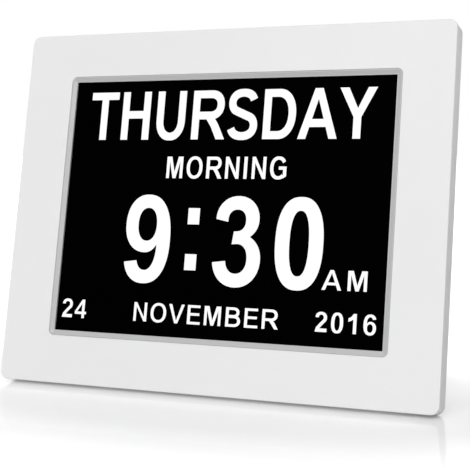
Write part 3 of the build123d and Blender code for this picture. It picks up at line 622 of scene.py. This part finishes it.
def figures(stem, cross):
    four_right, four_wide, arm_low, arm_top = 0.593, 0.705, 0.214, 0.214 + cross
    fork, shin = four_right - 0.926 * stem, 0.862 * stem
    four = [(fork, 0), (fork, arm_low), (0, arm_low), (0, arm_top), (0.43, 1), (four_right, 1),
            (four_right, arm_top), (four_wide, arm_top), (four_wide, arm_low), (four_right, arm_low),
            (four_right, 0)]
    four_hole = [(fork, arm_top), (fork, arm_top + 1.47 * (fork - shin)), (shin, arm_top)]
    one_right = 0.435
    one_left = one_right - 0.97 * stem
    one = [(one_right, 0), (one_left, 0), (one_left, 0.715), (0.13, 0.64), (0, 0.592),
           (0, 0.627 + cross), (0.15, 0.70 + cross), (0.275, 1), (one_right, 1)]
    two_wide, foot_low, foot_top = 0.64, 0.01, 0.045 + cross
    swan = arc((0.318, 0.725), 0.3135 - stem / 2, 0.2925 - cross / 2, 177, -30)
    swan += [(0.30, 0.385), (0.12, 0.175)]
    foot = [(0, foot_low), (two_wide, foot_low), (two_wide, foot_top), (0.17, foot_top), (0.06, 0.23)]
    nine = figure_nine(stem, cross)
    return {
        "0": [ring((0.323, 0.503), 0.323, 0.520, stem, cross, 2.4)],
        "1": [[one]],
        "2": [pen_line(swan, stem, cross), [foot]],
        "3": figure_three(stem, cross),
        "4": [[four, four_hole]],
        "6": [[[(-x, 1 - y) for x, y in line] for line in stroke] for stroke in nine],
        "9": nine,
        ":": [bar(0, 0.156, 0.215, 0.185), bar(0, 0.685, 0.215, 0.189)],
    }


print("figures", *figures(*sample_pen))

# %% [markdown]
# A stroke becomes a thin plate in two steps: a filled flat curve with a little thickness, and a
# mesh made from it. No operator takes a list of points, so the curve gets its outlines directly,
# and operators do the rest. Letters are drawn one unit tall, so the plate gets its own
# thickness only when it is set in place.

# %% Plates from outlines
glyph_thickness = 0.01
plate_millimetres = 0.04
thicken = plate_millimetres / glyph_thickness


def deselect():
    bpy.ops.object.select_all(action="DESELECT")


def select(*objects):
    """Selects these objects alone, with the first one active."""
    deselect()
    for thing in objects:
        thing.select_set(True)
    bpy.context.view_layer.objects.active = objects[0]


def plate(name, outlines):
    """A flat plate from closed outlines; an outline inside another is a hole."""
    curve = bpy.data.curves.new(name, "CURVE")
    curve.dimensions = "2D"
    curve.fill_mode = "BOTH"
    curve.extrude = glyph_thickness / 2
    for outline in outlines:
        spline = curve.splines.new("POLY")
        spline.points.add(len(outline) - 1)
        for point, (x, y) in zip(spline.points, outline):
            point.co = (x, y, 0, 1)
        spline.use_cyclic_u = True
    made = bpy.data.objects.new(name, curve)
    bpy.context.collection.objects.link(made)
    select(made)
    bpy.ops.object.convert(target="MESH")
    made = bpy.context.object
    bpy.ops.object.mode_set(mode="EDIT")
    bpy.ops.mesh.select_all(action="SELECT")
    bpy.ops.mesh.remove_doubles(threshold=1e-7)
    bpy.ops.mesh.normals_make_consistent(inside=False)
    bpy.ops.object.mode_set(mode="OBJECT")
    return made


print("plates will be", plate_millimetres, "mm thick, so", thicken, "times as thick as drawn")

# %% [markdown]
# The strokes of a letter overlap, so they are united, with nothing left inside. The finished
# plate is then laid on the screen or on the back of the case, and rides with the case.


# %% Letters from strokes
def united(pieces):
    """Joins overlapping solids into the first one, with nothing left inside."""
    whole = pieces[0]
    for other in pieces[1:]:
        select(whole)
        bpy.ops.object.modifier_add(type="BOOLEAN")
        union = whole.modifiers[-1]
        union.operation = "UNION"
        union.solver = "EXACT"
        union.object = other
        bpy.ops.object.modifier_apply(modifier=union.name)
        bpy.data.objects.remove(other)
    return whole


def glyph(strokes):
    """One letter or symbol as a plate, from its strokes."""
    return united([plate(f"stroke_{n}", stroke) for n, stroke in enumerate(strokes)])


def finish_plate(made, name, place, finish):
    """Names a flat piece, sets it on a surface of the case and gives it its finish."""
    made.name = made.data.name = name
    made.data.transform(place)
    made.data.materials.clear()
    made.data.materials.append(finishes[finish].material)
    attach(made, "case")


print("an E is united from", len(straight_letters(*sample_pen)["E"]), "strokes")

# %% [markdown]
# A row of letters is set like type. Every letter keeps a gap on its left and on its right,
# which is narrower at a bow or a slant than at an upright, and the whole row is then squeezed
# to its width on the screen. Measures are millimetres from the lower left of the picture.

# %% Setting a row of type
picture_width, picture_height = 162.0, 121.5
upright_gap = 0.10
letter_gaps = {
    "A": (0.01, 0.01), "V": (0.01, 0.01), "Y": (0.01, 0.01), "T": (0.03, 0.03), "O": (0.06, 0.06),
    "S": (0.055, 0.055), "G": (0.06, 0.09), "R": (upright_gap, 0.015), "B": (upright_gap, 0.055),
    "D": (upright_gap, 0.06), "E": (upright_gap, 0.055), "0": (0.095, 0.095), "1": (0.127, 0.243),
    "2": (0.083, 0.083), "3": (0.095, 0.095), "4": (0.05, 0.06), "6": (0.083, 0.083),
}


def set_row(name, words, corner, size, pen, tracking=0.0):
    """A row on the screen; the pen and the extra gap between letters are shares of its height."""
    alphabet = {**round_letters(*pen), **straight_letters(*pen), **figures(*pen)}
    row, end = [], 0.0
    for character in words:
        piece = glyph(alphabet[character])
        ink = [vertex.co.x for vertex in piece.data.vertices]
        before, after = letter_gaps.get(character, (upright_gap, upright_gap))
        start = end + before + tracking if row else 0.0
        piece.data.transform(Matrix.Translation((start - min(ink), 0, 0)))
        end = start + max(ink) - min(ink) + after
        row.append(piece)
    total = max(vertex.co.x for vertex in row[-1].data.vertices)
    select(*row)
    bpy.ops.object.join()
    width, height = size
    left, baseline = corner
    stretch = Matrix.Diagonal((width / total, height, thicken, 1))
    at_corner = Matrix.Translation((left - picture_width / 2, baseline - picture_height / 2, 0))
    place = picture_plane @ Matrix.Scale(millimetre, 4) @ at_corner @ stretch
    finish_plate(bpy.context.object, name, place, "display_white")
    print(f"{name}: squeezed to {width / total / height:.3f} of its natural width")


print("gaps are set for", len(letter_gaps), "characters")

# %% [markdown]
# The day, the part of the day, the time and the date are the generic display of such a clock.
# The small rows have a lighter pen than the large ones.

# %% The day, the time and the date
set_row("weekday_row", "THURSDAY", (9.15, 92.8), (144.6, 23.5), (0.194, 0.157))
set_row("part_of_day_row", "MORNING", (52.7, 74.25), (60.3, 10.3), (0.184, 0.143), tracking=0.08)
time_low, time_high, time_pen = 24.9, 40.4, (0.193, 0.155)
set_row("hour_row", "9", (33.95, time_low), (23.5, time_high), time_pen)
set_row("colon_row", ":", (65.85, time_low), (5.85, time_high), time_pen)
set_row("minute_row", "30", (79.75, time_low), (53.05, time_high), time_pen)
set_row("am_row", "AM", (133.2, 25.1), (20.7, 8.85), (0.172, 0.135), tracking=0.2)
set_row("date_row", "24", (3.25, 6.25), (13.1, 8.8), (0.168, 0.135), tracking=0.03)
set_row("month_row", "NOVEMBER", (41.8, 6.5), (72.25, 8.75), (0.167, 0.132), tracking=0.08)
set_row("year_row", "2016", (131.3, 6.6), (27.65, 8.7), (0.177, 0.14), tracking=0.05)
print("rows set on a picture of", picture_width, "by", picture_height, "mm")

# %% [markdown]
# ## Symbols at the keys
# Each key on the back has a small printed symbol above it: power, menu, four arrows, and a
# tick for OK. They are drawn in millimetres, centred over their keys, and lie on the raised
# back as a film of ink.

# %% Key symbols
ink = Finish("printed_ink", (84, 85, 88), 0.5, specular=0.3)
ink.uneven_colour(ink.noise(0.0004, 2.0), 0.12)

line = 0.42
arrow = [(-1.35, -1.1), (1.35, -1.1), (0, 1.35)]
open_circle = arc((0, -0.2), 1.3, 1.3, 125, 415, 2.0)
symbols = {
    "power": [pen_line(open_circle, line, line), bar(-line / 2, 0.1, line, 1.6)],
    "menu": [bar(-1.4, level - line / 2, 2.8, line) for level in (-1.0, 0.0, 1.0)],
    "up": [[arrow]],
    "down": [[[(-x, -y) for x, y in arrow]]],
    "left": [[[(-y, x) for x, y in arrow]]],
    "right": [[[(y, -x) for x, y in arrow]]],
    "ok": [pen_line([(-1.5, 0.1), (-0.5, -1.0), (1.6, 1.4)], line, line)],
}
symbol_rise = 6.4

made_symbols = []
for key, strokes in symbols.items():
    across = middle_of(f"{key}_key", -right) / millimetre
    upwards = (middle_of(f"{key}_key", up_case) - face_up) / millimetre + symbol_rise
    symbol = glyph(strokes)
    symbol.data.transform(Matrix.Translation((across, upwards, 0)))
    made_symbols.append(symbol)
select(*made_symbols)
bpy.ops.object.join()
film = Matrix.Scale(millimetre, 4) @ Matrix.Diagonal((1, 1, thicken, 1))
finish_plate(bpy.context.object, "key_symbols", back_plane @ film, "printed_ink")
print("symbols over", len(symbols), "keys")

# %% [markdown]
# ## Contacts of the USB socket
# Four gilt springs lie along the tongue of the socket. The tongue's face is measured on its
# node, and one bevelled bar is copied at the standard places, the outer two farther apart.

# %% USB contacts
contact_size = (7.0, 1.0, 0.16)
contact_edge = 0.05
contact_places = (-3.5, -1.0, 1.0, 3.5)
contact_middle = 4.2
lip_depth = 5.0

tongue = [vertex.co for vertex in nodes["usb_socket_tongue"].data.vertices]
mouth = min(corner.x for corner in tongue)
lip = [corner for corner in tongue if corner.x < mouth + lip_depth * millimetre]
tongue_face = max(corner.dot(facing) for corner in lip)
lip_heights = [corner.dot(up_case) for corner in lip]
tongue_up = (max(lip_heights) + min(lip_heights)) / 2
on_tongue = surface(right, up_case, facing, tongue_up, tongue_face)
on_tongue.translation += right * mouth

deselect()
bpy.ops.mesh.primitive_cube_add(size=1)
contact = bpy.context.object
contact.data.transform(Matrix.Diagonal((*contact_size, 1)))
bpy.ops.object.mode_set(mode="EDIT")
bpy.ops.mesh.select_all(action="SELECT")
bpy.ops.mesh.bevel(offset=contact_edge, segments=2)
bpy.ops.object.mode_set(mode="OBJECT")
for index, step in enumerate(contact_places):
    piece = contact.copy()
    piece.data = contact.data.copy()
    bpy.context.collection.objects.link(piece)
    piece.data.transform(Matrix.Translation((contact_middle, step, 0)))
    place = on_tongue @ Matrix.Scale(millimetre, 4)
    finish_plate(piece, f"usb_contact_{index + 1}", place, "contact_gold")
bpy.data.objects.remove(contact)
print(len(contact_places), "contacts, from", round(mouth / millimetre, 2), "mm inwards")

# %% [markdown]
# ## Light
# The clock stands on a plain white table in front of nothing, under a pale sky. Camera and
# mirror rays see the sky as white, while it lights the clock at a level where a colour renders
# about as it is written. The Light Path node tells the two kinds of ray apart.

# %% Sky
sky_level = 0.44
world = bpy.data.worlds.new("sky")
bpy.context.scene.world = world
world.use_nodes = True
sky = world.node_tree
paths = sky.nodes.new("ShaderNodeLightPath")
seen = paths.outputs["Is Camera Ray"]
for ray in ("Is Glossy Ray", "Is Transmission Ray"):
    either = sky.nodes.new("ShaderNodeMath")
    either.operation = "MAXIMUM"
    sky.links.new(seen, either.inputs[0])
    sky.links.new(paths.outputs[ray], either.inputs[1])
    seen = either.outputs[0]
level = sky.nodes.new("ShaderNodeMapRange")
level.inputs["To Min"].default_value = sky_level
level.inputs["To Max"].default_value = 1.0
sky.links.new(seen, level.inputs["Value"])
sky.links.new(level.outputs["Result"], sky.nodes["Background"].inputs["Strength"])
sky.nodes["Background"].inputs["Color"].default_value = (1, 1, 1, 1)
print("sky level", sky_level)

# %% [markdown]
# Two very soft suns make the modelling. The main one stands low in front of the clock, so the
# face is the brightest side, the side wall is a shade darker, and the shadow falls behind the
# case. The other one fills in the back from behind, and no mirror shows it. A sun is even over
# the whole floor, where a lamp would leave the far floor darker than the near.


# %% Suns
def soft_sun(name, comes_from, energy, spread):
    """A sun that shines from a point towards the origin; its spread softens the shadow."""
    turn = Vector(comes_from).to_track_quat("Z", "Y").to_euler()
    bpy.ops.object.light_add(type="SUN", location=comes_from, rotation=turn)
    made = bpy.context.object
    made.name = name
    made.data.energy = energy
    made.data.angle = radians(spread)
    print(name, "from", comes_from, "at", energy)
    return made


soft_sun("front_sun", (0.0, -3.6, 2.2), 1.53, 40)
back_fill = soft_sun("back_fill", (-0.6, 3.6, 1.0), 0.6, 20)
back_fill.visible_glossy = False

# %% [markdown]
# ## Floor
# The table is polished close in front of the clock, so it mirrors the lower edge of the case
# and the side wall. The polish ends before the screen would show in it, because a second
# picture below the clock would draw the eye from the first.

# %% Floor
deselect()
bpy.ops.mesh.primitive_plane_add(size=60, location=(0, 0, 0))
floor = bpy.context.object
floor.name = "floor"

front_edge = cad_box[0][1]
polish_ends, polish_whole = front_edge - 0.080, front_edge - 0.050
polish = 0.4
ground = Finish("floor_white", (246, 246, 246), 0.03)
ground.uneven_colour(ground.noise(0.4, 1.0), 0.005)
axes = ground.node("ShaderNodeSeparateXYZ")
ground.link(ground.place(), axes.inputs["Vector"])
behind = axes.outputs["Y"]
gloss = ground.spread(behind, 0.0, polish, polish_ends, polish_whole, smooth=True)
ground.link(gloss, ground.shader.inputs["Specular IOR Level"])
print("polished as far as y =", round(polish_ends, 3))

# %% [markdown]
# The floor gives a little light of its own to the camera alone, which lifts it to white. That
# light is less around the clock, which paints a pool of faint grey shade on the floor there. Just
# in front of the case it is a little more, a painted light standing for the light that the face
# throws onto the table. Beside the right-hand corner it is less again, a painted shade, which also
# keeps the polish from flaring there, where it mirrors nothing but the bright sky.


# %% Light of the floor
def patch(middle, stretch):
    """One in the middle of a patch of the floor, and nothing from its edge on."""
    gradient = ground.node("ShaderNodeTexGradient", gradient_type="SPHERICAL")
    ground.link(ground.place(stretch=stretch, middle=middle), gradient.inputs["Vector"])
    return gradient.outputs["Fac"]


far_lift, near_lift, face_light, painted_corner_shade = 0.42, 0.16, 0.045, -0.098
face_light_ends = front_edge - 0.025
# painted shade: less of the floor's own light round the clock, so the floor there shows grey
painted_shade_around_clock = patch(middle=(0, -0.014, 0), stretch=(3.7, 7.9, 1))
# painted shade: a patch beside the right-hand corner of the case where the floor's own light is less
painted_shade_beside_corner = patch(middle=(cad_box[1][0] + 0.011, -0.015, 0), stretch=(27, 16, 1))

lift = ground.spread(painted_shade_around_clock, far_lift, near_lift, 0.0, 0.51, smooth=True)
# painted light: a little more of the floor's own light just in front of the case, for the light from
# the face
painted_light_from_face = ground.spread(behind, 0.0, face_light, face_light_ends, front_edge, smooth=True)
shade = ground.spread(painted_shade_beside_corner, 0.0, painted_corner_shade, 0.0, 0.8, smooth=True)
lifted = ground.maths("ADD", ground.maths("ADD", lift, painted_light_from_face), shade)
is_camera = ground.node("ShaderNodeLightPath").outputs["Is Camera Ray"]
own_light = ground.node("ShaderNodeEmission")
ground.link(ground.maths("MULTIPLY", is_camera, lifted), own_light.inputs["Strength"])
together = ground.node("ShaderNodeAddShader")
ground.link(ground.shader.outputs["BSDF"], together.inputs[0])
ground.link(own_light.outputs["Emission"], together.inputs[1])
ground.link(together.outputs["Shader"], ground.tree.nodes["Material Output"].inputs["Surface"])
floor.data.materials.append(ground.material)
print("floor made, with", len(ground.tree.nodes), "shader nodes")
